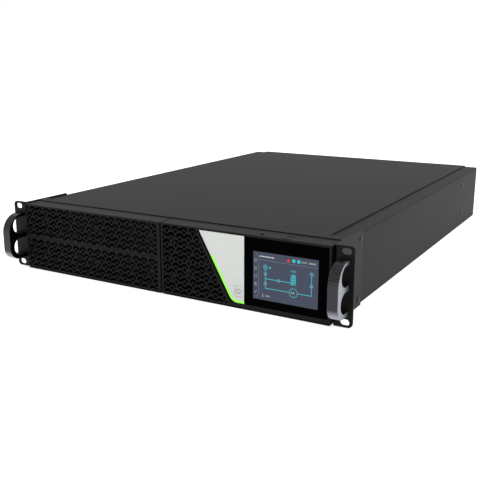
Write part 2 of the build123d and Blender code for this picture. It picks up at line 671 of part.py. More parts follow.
TERMINAL = (4.0, 6.0, 8.0)
TERMINAL_OFFSET = 60.0
TERMINAL_LIFT = 16.0
COLUMN_GAP = 10.0
battery_floor = TRAY_FLOOR_Z + SHEET + 0.2
column_offset = (BATTERY[0] + COLUMN_GAP) / 2
battery_number = 1
for row in range(3):
    battery_y = at(PACK_FRONT + BATTERY[1] / 2 + row * (BATTERY[1] + BATTERY_GAP))
    for side in (-1, 1):
        battery_x = PACK_CENTRE_X + side * column_offset
        inner_face = battery_x - side * BATTERY[0] / 2
        with BuildPart() as battery:
            with BuildSketch(Plane.XY.offset(battery_floor)):
                with Locations((battery_x, battery_y)):
                    Rectangle(BATTERY[0] - 0.6, BATTERY[1])
            extrude(amount=BATTERY[2])
            fillet(battery.edges().filter_by(Axis.X), radius=2.0)
            with BuildSketch(Plane.XY.offset(battery_floor + BATTERY[2] / 2 + TERMINAL_LIFT)):
                with Locations(*[(inner_face - side * TERMINAL[0] / 2 + side * 0.3, battery_y + end * TERMINAL_OFFSET)
                                 for end in (-1, 1)]):
                    Rectangle(TERMINAL[0] + 0.6, TERMINAL[1])
            extrude(amount=TERMINAL[2])
        save(battery.part, f"battery_{battery_number}")
        battery_number += 1

LINK_THICK = 0.8
terminal_z = battery_floor + BATTERY[2] / 2 + TERMINAL_LIFT
with BuildPart() as battery_links:
    with BuildSketch(Plane.XY.offset(terminal_z)):
        for side in (-1, 1):
            link_x = PACK_CENTRE_X + side * (COLUMN_GAP / 2 - TERMINAL[0] - LINK_THICK / 2 - 0.05)
            for row in range(2):
                link_depth = PACK_FRONT + (row + 1) * (BATTERY[1] + BATTERY_GAP) - BATTERY_GAP / 2
                with Locations((link_x, at(link_depth))):
                    Rectangle(LINK_THICK, BATTERY[1] + BATTERY_GAP - 2 * TERMINAL_OFFSET + TERMINAL[1])
    extrude(amount=TERMINAL[2])
save(battery_links.part, "battery_links")

with BuildPart() as bezel_studs:
    with BuildSketch(facing_front(PLATE_DEPTH)):
        with Locations(*STUD_PLACES):
            Circle(STUD_R)
    extrude(amount=PLATE_DEPTH - SOCKET_END - 2)
    stud_tips = bezel_studs.faces().filter_by(Axis.Y).group_by(Axis.Y)[0].edges()
    fillet(stud_tips, radius=1.2)
save(bezel_studs.part, "bezel_studs")

with BuildPart() as pack_pull_handle:
    with BuildSketch(Plane.XY.offset(MID_HEIGHT - 5)):
        with BuildLine():
            FilletPolyline((PACK_CENTRE_X - 30, at(PLATE_DEPTH - 2)), (PACK_CENTRE_X - 30, at(6)),
                           (PACK_CENTRE_X + 24, at(6)), (PACK_CENTRE_X + 24, at(PLATE_DEPTH - 2)), radius=6)
        trace(line_width=4)
    extrude(amount=10)
save(pack_pull_handle.part, "pack_pull_handle")

with BuildPart() as tray_thumbscrews:
    with BuildSketch(facing_front(PLATE_DEPTH)):
        with Locations(*[(x, THUMBSCREW_Z) for x in (-190, -26)]):
            Circle(THUMBSCREW_R)
    extrude(amount=9)
    with BuildSketch(facing_front(PLATE_DEPTH)):
        with Locations(*[(x, THUMBSCREW_Z) for x in (-190, -26)]):
            Circle(THUMB_SHANK_R)
    extrude(amount=-6)
save(tray_thumbscrews.part, "tray_thumbscrews")

# ---------------------------------------------------------------- battery connector
CONNECTOR_Z = 26.0
CONNECTOR_SIZE = (44.0, 16.0)
with BuildPart() as pack_connector:
    with BuildSketch(facing_front(tray_back + 0.1)):
        with Locations((PACK_CENTRE_X, CONNECTOR_Z)):
            RectangleRounded(*CONNECTOR_SIZE, 2.0)
    extrude(amount=-9)
    with BuildSketch(facing_front(tray_back + 9.1)):
        with Locations((PACK_CENTRE_X, CONNECTOR_Z)):
            with GridLocations(20, 0, 2, 1):
                Rectangle(12, 8)
    extrude(amount=6, mode=Mode.SUBTRACT)
save(pack_connector.part, "pack_connector")

bay_wall_face = BAY_REAR - SHEET / 2 - 0.1
with BuildPart() as bay_connector:
    with BuildSketch(facing_front(bay_wall_face)):
        with Locations((PACK_CENTRE_X, CONNECTOR_Z)):
            RectangleRounded(CONNECTOR_SIZE[0] + 14, CONNECTOR_SIZE[1] + 10, 2.0)
    extrude(amount=10)
    with BuildSketch(facing_front(bay_wall_face - 10)):
        with Locations((PACK_CENTRE_X, CONNECTOR_Z)):
            RectangleRounded(CONNECTOR_SIZE[0] + 1.2, CONNECTOR_SIZE[1] + 1.2, 2.4)
    extrude(amount=-7, mode=Mode.SUBTRACT)
save(bay_connector.part, "bay_connector")

# ---------------------------------------------------------------- power electronics
BOARD_Z = 8.0
BOARD_TOP = BOARD_Z + BOARD_THICK
BOARD_X = (6.0, 210.0)
BOARD_DEPTHS = (60.0, 592.0)
board_middle = (sum(BOARD_X) / 2, at(sum(BOARD_DEPTHS) / 2))

with BuildPart() as power_board:
    with BuildSketch(Plane.XY.offset(BOARD_Z)):
        with Locations(board_middle):
            RectangleRounded(BOARD_X[1] - BOARD_X[0], BOARD_DEPTHS[1] - BOARD_DEPTHS[0], 3.0)
    extrude(amount=BOARD_THICK)
    with BuildSketch(Plane.XY.offset(BOARD_Z)):
        with Locations(board_middle):
            with GridLocations(190, 250, 2, 3):
                Circle(3.0)
    extrude(amount=SHEET - BOARD_Z)
save(power_board.part, "power_board")

FIN_COUNT = 11
FIN_PITCH = 6.0
SINK_DEPTHS = (330.0, 560.0)
with BuildPart() as heat_sinks:
    for sink_x in (60.0, 158.0):
        with BuildSketch(facing_front(SINK_DEPTHS[0])):
            with Locations((sink_x, BOARD_TOP + 5)):
                Rectangle(FIN_PITCH * FIN_COUNT, 6)
            with Locations((sink_x, BOARD_TOP + 31)):
                with GridLocations(FIN_PITCH, 0, FIN_COUNT, 1):
                    Rectangle(1.6, 48)
            with Locations((sink_x, BOARD_TOP + 1)):
                with GridLocations(50, 0, 2, 1):
                    Rectangle(6, 2)
        extrude(amount=SINK_DEPTHS[0] - SINK_DEPTHS[1])
save(heat_sinks.part, "heat_sinks")

with BuildPart() as power_chokes:
    for choke_x in (50.0, 112.0, 172.0):
        with Locations((choke_x, at(268), BOARD_TOP + 10.5)):
            Torus(20, 9)
        with Locations((choke_x, at(268), BOARD_TOP + 1)):
            Cylinder(20, 2)
save(power_chokes.part, "power_chokes")

with BuildPart() as bus_capacitors:
    with BuildSketch(Plane.XY.offset(BOARD_TOP)):
        with Locations((112, at(190))):
            with GridLocations(36, 36, 4, 2):
                Circle(15)
    extrude(amount=50)
    fillet(bus_capacitors.edges().group_by(Axis.Z)[-1], radius=2.0)
save(bus_capacitors.part, "bus_capacitors")

with BuildPart() as charger_transformer:
    with BuildSketch(Plane.XY.offset(BOARD_TOP)):
        with Locations((150, at(115))):
            Rectangle(56, 44)
    extrude(amount=40)
    with BuildSketch(Plane.XY.offset(BOARD_TOP + 8)):
        with Locations((150, at(115))):
            RectangleRounded(38, 60, 8)
    extrude(amount=24)
save(charger_transformer.part, "charger_transformer")

with BuildPart() as transfer_relays:
    with BuildSketch(Plane.XY.offset(BOARD_TOP)):
        with Locations((50, at(112))):
            with GridLocations(0, 18, 1, 4):
                RectangleRounded(30, 13, 1.0)
    extrude(amount=24)
save(transfer_relays.part, "transfer_relays")

CONTROL_BOARD_Z = 22.0
with BuildPart() as control_board:
    with BuildSketch(Plane.XY.offset(CONTROL_BOARD_Z)):
        with Locations((2.0, at(612))):
            Rectangle(80, 32)
    extrude(amount=BOARD_THICK)
    with BuildSketch(Plane.XY.offset(CONTROL_BOARD_Z + BOARD_THICK)):
        with Locations((-10, at(604))):
            Rectangle(18, 12)
    extrude(amount=2)
save(control_board.part, "control_board")

with BuildPart() as emi_filter:
    with BuildSketch(Plane.XY.offset(SHEET + 0.1)):
        with Locations((-150.0, at(552))):
            RectangleRounded(96, 58, 2.0)
    extrude(amount=42)
    with BuildSketch(Plane.XY.offset(SHEET + 42.1)):
        with Locations((-150.0, at(552))):
            with GridLocations(70, 30, 2, 2):
                Rectangle(3, 7)
    extrude(amount=8)
save(emi_filter.part, "emi_filter")

# ---------------------------------------------------------------- rear panel
PANEL_Z = (1.4, 83.6)
PANEL_TOP = LID_TOP - COVER_SHEET - CLEARANCE
BANK_SIZE = (4 * OUTLET_PITCH, 28.0)
INLET_SIZE = (38.0, 31.0)
BREAKER_NECK_R = 6.0
USB_SIZE = (12.0, 11.0)
SERIAL_SIZE = (17.0, 9.0)
EPO_SIZE = (10.4, 7.4)
BATTERY_SOCKET_SIZE = (36.0, 15.0)
FIT_GAP = 0.15
STUD_HOLE_R = 2.0
panel_face = REAR_DEPTH - SHEET
slot_screw_places = [(SLOT_COVER_PLACE[0] + side * 29.0, SLOT_COVER_PLACE[1]) for side in (-1, 1)]


def cutout(place, size):
    """Rectangular hole in the rear panel for a piece of the given size."""
    with Locations(place):
        Rectangle(size[0] + 2 * FIT_GAP, size[1] + 2 * FIT_GAP, mode=Mode.SUBTRACT)


with BuildPart() as rear_panel:
    with BuildSketch(facing_front(panel_face)):
        with Locations((0, sum(PANEL_Z) / 2)):
            Rectangle(CHASSIS_WIDTH - 2 * SHEET - 0.4, PANEL_Z[1] - PANEL_Z[0])
        with Locations((0, PANEL_TOP - 2)):
            Rectangle(2 * PLATEAU_HALF - 4, 4)
        with Locations(*[(x, FAN_Z) for x in FAN_X]):
            Circle(FAN_BORE_R, mode=Mode.SUBTRACT)
            with GridLocations(FAN_SCREW_PITCH, FAN_SCREW_PITCH, 2, 2):
                Circle(STUD_HOLE_R, mode=Mode.SUBTRACT)
        for bank_z in OUTLET_BANK_Z:
            cutout((OUTLET_BANK_X, bank_z), BANK_SIZE)
        cutout(INLET_PLACE, INLET_SIZE)
        cutout(USB_PLACE, USB_SIZE)
        cutout(SERIAL_PLACE, SERIAL_SIZE)
        cutout(EPO_PLACE, EPO_SIZE)
        cutout(BATTERY_SOCKET_PLACE, BATTERY_SOCKET_SIZE)
        cutout(SLOT_COVER_PLACE, (SLOT_COVER_SIZE[0] - 16, SLOT_COVER_SIZE[1] - 6))
        with Locations(BREAKER_PLACE):
            Circle(BREAKER_NECK_R + FIT_GAP, mode=Mode.SUBTRACT)
        with Locations(GROUND_PLACE):
            Circle(STUD_HOLE_R + CLEARANCE, mode=Mode.SUBTRACT)
        with Locations(*[(x, COVER_SCREW_Z) for x in COVER_SCREW_X]):
            Circle(PANEL_SCREW_R + CLEARANCE, mode=Mode.SUBTRACT)
        with Locations(*slot_screw_places):
            Circle(PANEL_SCREW_R + CLEARANCE, mode=Mode.SUBTRACT)
    extrude(amount=-SHEET)
save(rear_panel.part, "rear_panel")

HUB_R = 16.0
ROTOR_R = 36.6
BLADE_COUNT = 7
guard_front = REAR_DEPTH + 0.1
WIRE_R = 0.9
fan_front = panel_face - FAN_DEPTH - 0.1
GUARD_RINGS = (36.0, 27.0, 18.0, 9.0)
GUARD_SPOKE = 50.0
GUARD_EYE_R = 3.2

for number, fan_x in enumerate(FAN_X, start=1):
    with BuildPart() as fan_frame:
        with BuildSketch(facing_front(fan_front)):
            with Locations((fan_x, FAN_Z)):
                RectangleRounded(FAN_SIZE, FAN_SIZE, 4.0)
                Circle(FAN_BORE_R, mode=Mode.SUBTRACT)
                with GridLocations(FAN_SCREW_PITCH, FAN_SCREW_PITCH, 2, 2):
                    Circle(STUD_HOLE_R, mode=Mode.SUBTRACT)
        extrude(amount=-FAN_DEPTH)
        with BuildSketch(facing_front(fan_front)):
            with Locations((fan_x, FAN_Z)):
                Circle(HUB_R)
                with PolarLocations(27, 4, start_angle=45):
                    Rectangle(24, 3.5)
        extrude(amount=-3)
        with BuildSketch(facing_front(fan_front + 3)):
            with Locations((fan_x, FAN_Z)):
                Circle(2.5)
        extrude(amount=-6)
    save(fan_frame.part, f"fan_{number}_frame")

    with BuildPart(facing_rear(fan_front + 4.5, fan_x, FAN_Z)) as fan_rotor:
        with Locations((0, 0, 9)):
            Cylinder(HUB_R, 18)
        with PolarLocations((HUB_R + ROTOR_R) / 2 - 1, BLADE_COUNT):
            with Locations((0, 0, 9)):
                Box(ROTOR_R - HUB_R + 2, 1.5, 21, rotation=(42, 0, 0))
        with Locations((0, 0, 9)):
            Cylinder(ROTOR_R, 19, mode=Mode.INTERSECT)
        with Locations((0, 0, 3)):
            Cylinder(2.6, 12, mode=Mode.SUBTRACT)
    save(fan_rotor.part, f"fan_{number}_rotor")

with BuildPart() as fan_guards:
    with BuildSketch(facing_front(guard_front)):
        for fan_x in FAN_X:
            with Locations((fan_x, FAN_Z)):
                for ring_r in GUARD_RINGS:
                    Circle(ring_r + WIRE_R)
                    Circle(ring_r - WIRE_R, mode=Mode.SUBTRACT)
                with PolarLocations(GUARD_SPOKE / 2, 4, start_angle=45):
                    Rectangle(GUARD_SPOKE, 2 * WIRE_R)
                with GridLocations(FAN_SCREW_PITCH, FAN_SCREW_PITCH, 2, 2):
                    Circle(GUARD_EYE_R)
    extrude(amount=-2 * WIRE_R)
save(fan_guards.part, "fan_guards")

# ---------------------------------------------------------------- sockets, switches and ports
FLANGE_THICK = 1.6
RECESS_DEPTH = 15.0
SOCKET_DEPTH = 20.0


def keyed_points(width, height, cut):
    """Outline of a mains connector: a rectangle with its two lower corners cut off."""
    return [
        (-width / 2, height / 2), (-width / 2, cut - height / 2), (cut - width / 2, -height / 2),
        (width / 2 - cut, -height / 2), (width / 2, cut - height / 2), (width / 2, height / 2),
    ]


def rear_view(depth, place):
    """Sketch plane on the back, seen from behind, centred on a place on the rear panel."""
    return Plane(origin=(place[0], at(depth), place[1]), x_dir=(-1, 0, 0), z_dir=(0, 1, 0))


socket_front = REAR_DEPTH + FLANGE_THICK
for number, bank_z in enumerate(OUTLET_BANK_Z, start=1):
    place = (OUTLET_BANK_X, bank_z)
    with BuildPart() as outlet_bank:
        with BuildSketch(rear_view(REAR_DEPTH, place)):
            RectangleRounded(BANK_SIZE[0] + 3, BANK_SIZE[1] + 3, 1.5)
        extrude(amount=FLANGE_THICK)
        with BuildSketch(rear_view(REAR_DEPTH, place)):
            Rectangle(*BANK_SIZE)
        extrude(amount=-SOCKET_DEPTH)
        with BuildSketch(rear_view(socket_front, place)):
            with GridLocations(OUTLET_PITCH, 0, 4, 1):
                Polygon(*keyed_points(26.6, 19.4, 5.0), align=None)
                Polygon(*keyed_points(22.4, 15.2, 4.2), align=None, mode=Mode.SUBTRACT)
                with Locations((-6.5, -1.5), (6.5, -1.5), (0, 3.2)):
                    Rectangle(2.4, 6.4)
        extrude(amount=-RECESS_DEPTH, mode=Mode.SUBTRACT)
    save(outlet_bank.part, f"outlet_bank_{number}")

with BuildPart() as mains_inlet:
    with BuildSketch(rear_view(REAR_DEPTH, INLET_PLACE)):
        RectangleRounded(INLET_SIZE[0] + 6, INLET_SIZE[1] + 4, 2.0)
    extrude(amount=FLANGE_THICK)
    with BuildSketch(rear_view(REAR_DEPTH, INLET_PLACE)):
        Rectangle(*INLET_SIZE)
    extrude(amount=-SOCKET_DEPTH - 4)
    with BuildSketch(rear_view(socket_front, INLET_PLACE)):
        RectangleRounded(31.0, 24.5, 2.0)
    extrude(amount=-SOCKET_DEPTH, mode=Mode.SUBTRACT)
    with BuildSketch(rear_view(socket_front - SOCKET_DEPTH, INLET_PLACE)):
        with Locations((-8.5, -2), (8.5, -2), (0, 5)):
            Rectangle(8.0, 2.0, rotation=90)
    extrude(amount=SOCKET_DEPTH - 3)
save(mains_inlet.part, "mains_inlet")

BUTTON_R = 4.0
BREAKER_OUT = 4.0
with BuildPart() as input_breaker:
    with BuildSketch(rear_view(REAR_DEPTH + BREAKER_OUT, BREAKER_PLACE)):
        Circle(BREAKER_NECK_R)
    extrude(amount=-14)
    with BuildSketch(rear_view(REAR_DEPTH + 0.1, BREAKER_PLACE)):
        RegularPolygon(8.6, 6)
    extrude(amount=2.6)
    with BuildSketch(rear_view(REAR_DEPTH - SHEET - 0.1, BREAKER_PLACE)):
        Rectangle(16, 30)
    extrude(amount=-26)
    with BuildSketch(rear_view(REAR_DEPTH + BREAKER_OUT, BREAKER_PLACE)):
        Circle(BUTTON_R + RUNNING_GAP)
    extrude(amount=-10, mode=Mode.SUBTRACT)
save(input_breaker.part, "input_breaker")

with BuildPart() as breaker_button:
    with BuildSketch(rear_view(REAR_DEPTH + BREAKER_OUT + 2.0, BREAKER_PLACE)):
        Circle(BUTTON_R)
    extrude(amount=-11)
    fillet(breaker_button.faces().sort_by(Axis.Y)[-1].edges(), radius=1.0)
save(breaker_button.part, "breaker_button")

PORT_DEPTH = 14.0
with BuildPart() as comm_ports:
    with BuildSketch(rear_view(REAR_DEPTH + 0.8, USB_PLACE)):
        Rectangle(*USB_SIZE)
        Rectangle(8.4, 7.6, mode=Mode.SUBTRACT)
    extrude(amount=-PORT_DEPTH)
    with BuildSketch(rear_view(REAR_DEPTH + 0.8 - PORT_DEPTH, USB_PLACE)):
        Rectangle(*USB_SIZE)
    extrude(amount=1.5)
    with BuildSketch(rear_view(REAR_DEPTH + 0.8 - PORT_DEPTH, USB_PLACE)):
        Rectangle(5.4, 3.0)
    extrude(amount=PORT_DEPTH - 2)
    with BuildSketch(rear_view(REAR_DEPTH + 4.5, SERIAL_PLACE)):
        RectangleRounded(*SERIAL_SIZE, 2.0)
    extrude(amount=-PORT_DEPTH - 2)
    with BuildSketch(rear_view(REAR_DEPTH + 0.1, SERIAL_PLACE)):
        RectangleRounded(30.0, 12.0, 1.0)
        RectangleRounded(*SERIAL_SIZE, 2.0, mode=Mode.SUBTRACT)
    extrude(amount=1.0)
    with BuildSketch(rear_view(REAR_DEPTH + 4.5, SERIAL_PLACE)):
        with Locations((0, 1.4)):
            with GridLocations(2.7, 0, 5, 1):
                Circle(0.6)
        with Locations((0, -1.4)):
            with GridLocations(2.7, 0, 4, 1):
                Circle(0.6)
    extrude(amount=-5, mode=Mode.SUBTRACT)
save(comm_ports.part, "comm_ports")

EPO_REACH = 7.0
with BuildPart() as epo_socket:
    with BuildSketch(rear_view(REAR_DEPTH + 0.5, EPO_PLACE)):
        Rectangle(*EPO_SIZE)
        Rectangle(EPO_SIZE[0] - 2, EPO_SIZE[1] - 2, mode=Mode.SUBTRACT)
    extrude(amount=-10)
    with BuildSketch(rear_view(REAR_DEPTH - 9.5, EPO_PLACE)):
        Rectangle(*EPO_SIZE)
        with GridLocations(3.8, 0, 2, 1):
            Circle(0.5, mode=Mode.SUBTRACT)
    extrude(amount=1.5)
save(epo_socket.part, "epo_socket")

with BuildPart() as epo_plug:
    with BuildSketch(rear_view(REAR_DEPTH + EPO_REACH, EPO_PLACE)):
        Rectangle(EPO_SIZE[0] - 2.4, EPO_SIZE[1] - 2.4)
    extrude(amount=-14)
    with BuildSketch(rear_view(REAR_DEPTH + EPO_REACH, EPO_PLACE)):
        with GridLocations(3.8, 0, 2, 1):
            Circle(1.1)
    extrude(amount=-3, mode=Mode.SUBTRACT)
save(epo_plug.part, "epo_plug")

with BuildPart() as slot_cover:
    with BuildSketch(rear_view(REAR_DEPTH, SLOT_COVER_PLACE)):
        RectangleRounded(*SLOT_COVER_SIZE, 1.5)
        with GridLocations(58, 0, 2, 1):
            Circle(PANEL_SCREW_R + CLEARANCE, mode=Mode.SUBTRACT)
    extrude(amount=SHEET)
save(slot_cover.part, "slot_cover")

with BuildPart() as external_battery_socket:
    with BuildSketch(rear_view(REAR_DEPTH + 3.0, BATTERY_SOCKET_PLACE)):
        Rectangle(*BATTERY_SOCKET_SIZE)
        with GridLocations(17, 0, 2, 1):
            Rectangle(12, 10, mode=Mode.SUBTRACT)
    extrude(amount=-16)
    with BuildSketch(rear_view(REAR_DEPTH - 13, BATTERY_SOCKET_PLACE)):
        Rectangle(*BATTERY_SOCKET_SIZE)
    extrude(amount=-8)
    with BuildSketch(rear_view(REAR_DEPTH - 13, BATTERY_SOCKET_PLACE)):
        with GridLocations(17, 0, 2, 1):
            Rectangle(9, 2.4)
    extrude(amount=12)
save(external_battery_socket.part, "external_battery_socket")

with BuildPart() as ground_stud:
    with BuildSketch(rear_view(REAR_DEPTH - SHEET - 3, GROUND_PLACE)):
        Circle(STUD_HOLE_R)
    extrude(amount=SHEET + 9)
    with BuildSketch(rear_view(REAR_DEPTH + 0.1, GROUND_PLACE)):
        RegularPolygon(4.0, 6)
    extrude(amount=3.0)
    with BuildSketch(rear_view(REAR_DEPTH - SHEET - 0.1, GROUND_PLACE)):
        RegularPolygon(4.0, 6)
    extrude(amount=-2.5)
save(ground_stud.part, "ground_stud")

# ---------------------------------------------------------------- fasteners
HEAD_R = 2.6
HEAD_THICK = 1.6
with BuildPart() as side_screws:
    for side in (-1, 1):
        for places, face in ((EAR_SCREWS, HALF_WIDTH + EAR_THICK), (REAR_SIDE_SCREWS, HALF_WIDTH)):
            with BuildSketch(facing_side(side * face)):
                with Locations(*[(at(d), z) for d, z in places]):
                    Circle(SIDE_SCREW_R + 0.9)
            extrude(amount=side * 0.6)
            with BuildSketch(facing_side(side * face)):
                with Locations(*[(at(d), z) for d, z in places]):
                    Circle(SIDE_SCREW_R)
            extrude(amount=-side * 5)
            with BuildSketch(facing_side(side * (face + 0.6))):
                with Locations(*[(at(d), z) for d, z in places]):
                    RegularPolygon(1.4, 6)
            extrude(amount=-side * 1.6, mode=Mode.SUBTRACT)
save(side_screws.part, "side_screws")

handle_screw_x = HANDLE_INNER_X + HANDLE_WIDTH / 2
with BuildPart() as handle_screws:
    for side in (-1, 1):
        places = [(side * handle_screw_x, z) for z in HANDLE_SCREW_HEIGHTS]
        with BuildSketch(facing_front(EAR_THICK)):
            with Locations(*places):
                Circle(HEAD_R)
        extrude(amount=-HEAD_THICK)
        with BuildSketch(facing_front(EAR_THICK)):
            with Locations(*places):
                Circle(HANDLE_SCREW_R)
        extrude(amount=EAR_THICK + HANDLE_SCREW_DEPTH - 1)
        with BuildSketch(facing_front(EAR_THICK + HEAD_THICK)):
            with Locations(*places):
                RegularPolygon(1.2, 6)
        extrude(amount=1.0, mode=Mode.SUBTRACT)
save(handle_screws.part, "handle_screws")

with BuildPart() as panel_screws:
    for places, face in (([(x, COVER_SCREW_Z) for x in COVER_SCREW_X], REAR_DEPTH + COVER_LIP),
                         (slot_screw_places, REAR_DEPTH + SHEET)):
        with BuildSketch(facing_front(face)):
            with Locations(*places):
                Circle(HEAD_R)
        extrude(amount=-HEAD_THICK)
        with BuildSketch(facing_front(face)):
            with Locations(*places):
                Circle(PANEL_SCREW_R)
        extrude(amount=5)
        with BuildSketch(facing_front(face + HEAD_THICK)):
            with Locations(*places):
                Rectangle(3.6, 0.8)
                Rectangle(0.8, 3.6)
        extrude(amount=1.0, mode=Mode.SUBTRACT)
save(panel_screws.part, "panel_screws")
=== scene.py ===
"""Looks of a rack uninterruptible power supply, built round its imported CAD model."""
import json
from math import cos, pi, radians, sin

import bmesh
import bpy
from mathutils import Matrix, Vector


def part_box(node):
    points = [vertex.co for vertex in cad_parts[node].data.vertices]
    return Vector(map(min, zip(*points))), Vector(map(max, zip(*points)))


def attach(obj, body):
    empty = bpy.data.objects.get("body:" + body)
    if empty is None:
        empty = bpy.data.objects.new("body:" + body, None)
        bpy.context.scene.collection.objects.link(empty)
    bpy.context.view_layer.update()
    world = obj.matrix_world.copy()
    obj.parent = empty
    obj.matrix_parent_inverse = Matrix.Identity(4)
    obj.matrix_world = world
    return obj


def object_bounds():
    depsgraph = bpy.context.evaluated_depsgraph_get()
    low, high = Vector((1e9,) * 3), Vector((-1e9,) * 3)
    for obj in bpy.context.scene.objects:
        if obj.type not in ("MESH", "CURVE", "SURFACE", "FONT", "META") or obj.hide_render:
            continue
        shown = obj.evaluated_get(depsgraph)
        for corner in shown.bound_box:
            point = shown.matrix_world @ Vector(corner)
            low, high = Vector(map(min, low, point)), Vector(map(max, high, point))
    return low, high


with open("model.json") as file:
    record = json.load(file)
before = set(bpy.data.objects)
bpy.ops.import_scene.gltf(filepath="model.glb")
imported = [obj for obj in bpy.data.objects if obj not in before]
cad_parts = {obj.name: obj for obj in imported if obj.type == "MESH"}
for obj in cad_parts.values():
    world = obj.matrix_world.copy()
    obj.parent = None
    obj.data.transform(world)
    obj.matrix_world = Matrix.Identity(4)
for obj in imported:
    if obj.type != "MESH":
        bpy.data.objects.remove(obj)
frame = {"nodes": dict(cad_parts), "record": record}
nodes = frame["nodes"]
CAD_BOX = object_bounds()
MM = 0.001

# ------------------------------------------------------------------ camera and studio
rack_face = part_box("right_ear")[0].y
CAMERA_OFFSET = Vector((494.6, -663.6, 272.2)) * MM
CAMERA_YAW = 30.29
CAMERA_PITCH = 14.17
FOCAL_LENGTH = 54.11


def add_camera():
    """Camera at the product-shot angle, placed from the face of the rack ears."""
    data = bpy.data.cameras.new("camera")
    data.lens = FOCAL_LENGTH
    data.sensor_width = 36.0
    data.clip_start = 0.01
    camera = bpy.data.objects.new("camera", data)
    camera.location = CAMERA_OFFSET + Vector((0, rack_face, 0))
    camera.rotation_euler = (radians(90 - CAMERA_PITCH), 0, radians(CAMERA_YAW))
    bpy.context.scene.collection.objects.link(camera)
    bpy.context.scene.camera = camera


add_camera()
bpy.context.scene.view_settings.view_transform = "Standard"


# ------------------------------------------------------------------ material helpers
class Shader:
    """A Principled material with a few node-building shortcuts."""

    def __init__(self, name, color, roughness, metallic=0.0):
        self.material = bpy.data.materials.new(name)
        self.material.use_nodes = True
        self.tree = self.material.node_tree
        self.bsdf = self.tree.nodes["Principled BSDF"]
        self.color = color
        self.set("Base Color", (*color, 1))
        self.set("Roughness", roughness)
        self.set("Metallic", metallic)
        self.normal = None

    def set(self, socket, value):
        self.bsdf.inputs[socket].default_value = value

    def add(self, kind, inputs=None, **settings):
        node = self.tree.nodes.new(kind)
        for key, value in settings.items():
            setattr(node, key, value)
        for key, value in (inputs or {}).items():
            if isinstance(value, bpy.types.NodeSocket):
                self.tree.links.new(value, node.inputs[key])
            else:
                node.inputs[key].default_value = value
        return node

    def place(self):
        """Object coordinates, which are metres in the row frame."""
        return self.add("ShaderNodeTexCoord").outputs["Object"]

    def noise(self, scale, detail=3.0, roughness=0.55, stretch=None):
        vector = self.place()
        if stretch:
            vector = self.add("ShaderNodeMapping", {"Vector": vector, "Scale": stretch}).outputs[0]
        inputs = {"Vector": vector, "Scale": scale, "Detail": detail, "Roughness": roughness}
        return self.add("ShaderNodeTexNoise", inputs).outputs["Fac"]

    def ramp(self, fac, stops):
        node = self.add("ShaderNodeValToRGB", {"Fac": fac})
        elements = node.color_ramp.elements
        while len(elements) < len(stops):
            elements.new(0.5)
        for element, (position, value) in zip(elements, stops):
            element.position = position
            element.color = (*value, 1) if len(value) == 3 else value
        return node.outputs["Color"]

    def range(self, fac, low, high):
        inputs = {"Value": fac, "To Min": low, "To Max": high}
        return self.add("ShaderNodeMapRange", inputs).outputs["Result"]

    def span(self, fac, start, end):
        """0 at start and below, 1 at end and beyond."""
        inputs = {"Value": fac, "From Min": start, "From Max": end}
        return self.add("ShaderNodeMapRange", inputs).outputs["Result"]

    def math(self, operation, first, second=0.5):
        return self.add("ShaderNodeMath", {0: first, 1: second}, operation=operation).outputs[0]

    def vector_math(self, operation, first, second, output="Vector"):
        return self.add("ShaderNodeVectorMath", {0: first, 1: second}, operation=operation).outputs[output]

    def link(self, output, socket):
        self.tree.links.new(output, self.bsdf.inputs[socket])

    def bump(self, height, strength, distance):
        """Adds one more layer of bump, on top of the layers already there."""
        inputs = {"Height": height, "Strength": strength, "Distance": distance}
        if self.normal:
            inputs["Normal"] = self.normal
        self.normal = self.add("ShaderNodeBump", inputs).outputs["Normal"]
        self.link(self.normal, "Normal")

    def round_edges(self, radius):
        """Softens hard edges in shading."""
        self.normal = self.add("ShaderNodeBevel", {"Radius": radius}, samples=6).outputs["Normal"]
        self.link(self.normal, "Normal")


def shade(color, factor):
    return tuple(min(channel * factor, 1.0) for channel in color)


def mottled(shader, scale, low, high):
    """Slow, slight variation of the base colour."""
    fac = shader.noise(scale, detail=2.0)
    stops = [(0.3, shade(shader.color, low)), (0.7, shade(shader.color, high))]
    shader.link(shader.ramp(fac, stops), "Base Color")


def worn_rim(shader, radius, tint, amount):
    """Lightens the colour along edges, where handling polishes the finish."""
    bevel = shader.add("ShaderNodeBevel", {"Radius": radius}, samples=4).outputs["Normal"]
    flat = shader.add("ShaderNodeNewGeometry").outputs["Normal"]
    dot = shader.vector_math("DOT_PRODUCT", bevel, flat, "Value")
    edge = shader.span(dot, 0.995, 0.86)
    patch = shader.range(shader.noise(420.0, detail=4.0), 0.2, 1.0)
    mask = shader.math("MULTIPLY", shader.math("MULTIPLY", edge, patch), amount)
    mix = shader.add("ShaderNodeMix", data_type="RGBA")
    low_color, high_color = [socket for socket in mix.inputs if socket.type == "RGBA"]
    shader.tree.links.new(mask, mix.inputs[0])
    shader.tree.links.new(shader.bsdf.inputs["Base Color"].links[0].from_socket, low_color)
    high_color.default_value = (*tint, 1)
    mixed = [socket for socket in mix.outputs if socket.type == "RGBA"][0]
    shader.link(mixed, "Base Color")


def powder_coat(name, color, roughness=0.6, grain=0.00008, edge=0.0003, specular=0.115):
    """Fine-textured baked powder coat on sheet metal."""
    shader = Shader(name, color, roughness)
    shader.set("Specular IOR Level", specular)
    mottled(shader, 9.0, 0.95, 1.06)
    worn_rim(shader, 0.0007, shade(color, 1.7), 0.5)
    speckle = shader.noise(2600.0, detail=2.0, roughness=0.6)
    shader.link(shader.range(shader.noise(900.0), roughness - 0.06, roughness + 0.08), "Roughness")
    shader.round_edges(edge)
    shader.bump(speckle, 0.35, grain)
    shader.bump(shader.noise(700.0, detail=1.0), 0.18, grain * 2)
    return shader.material


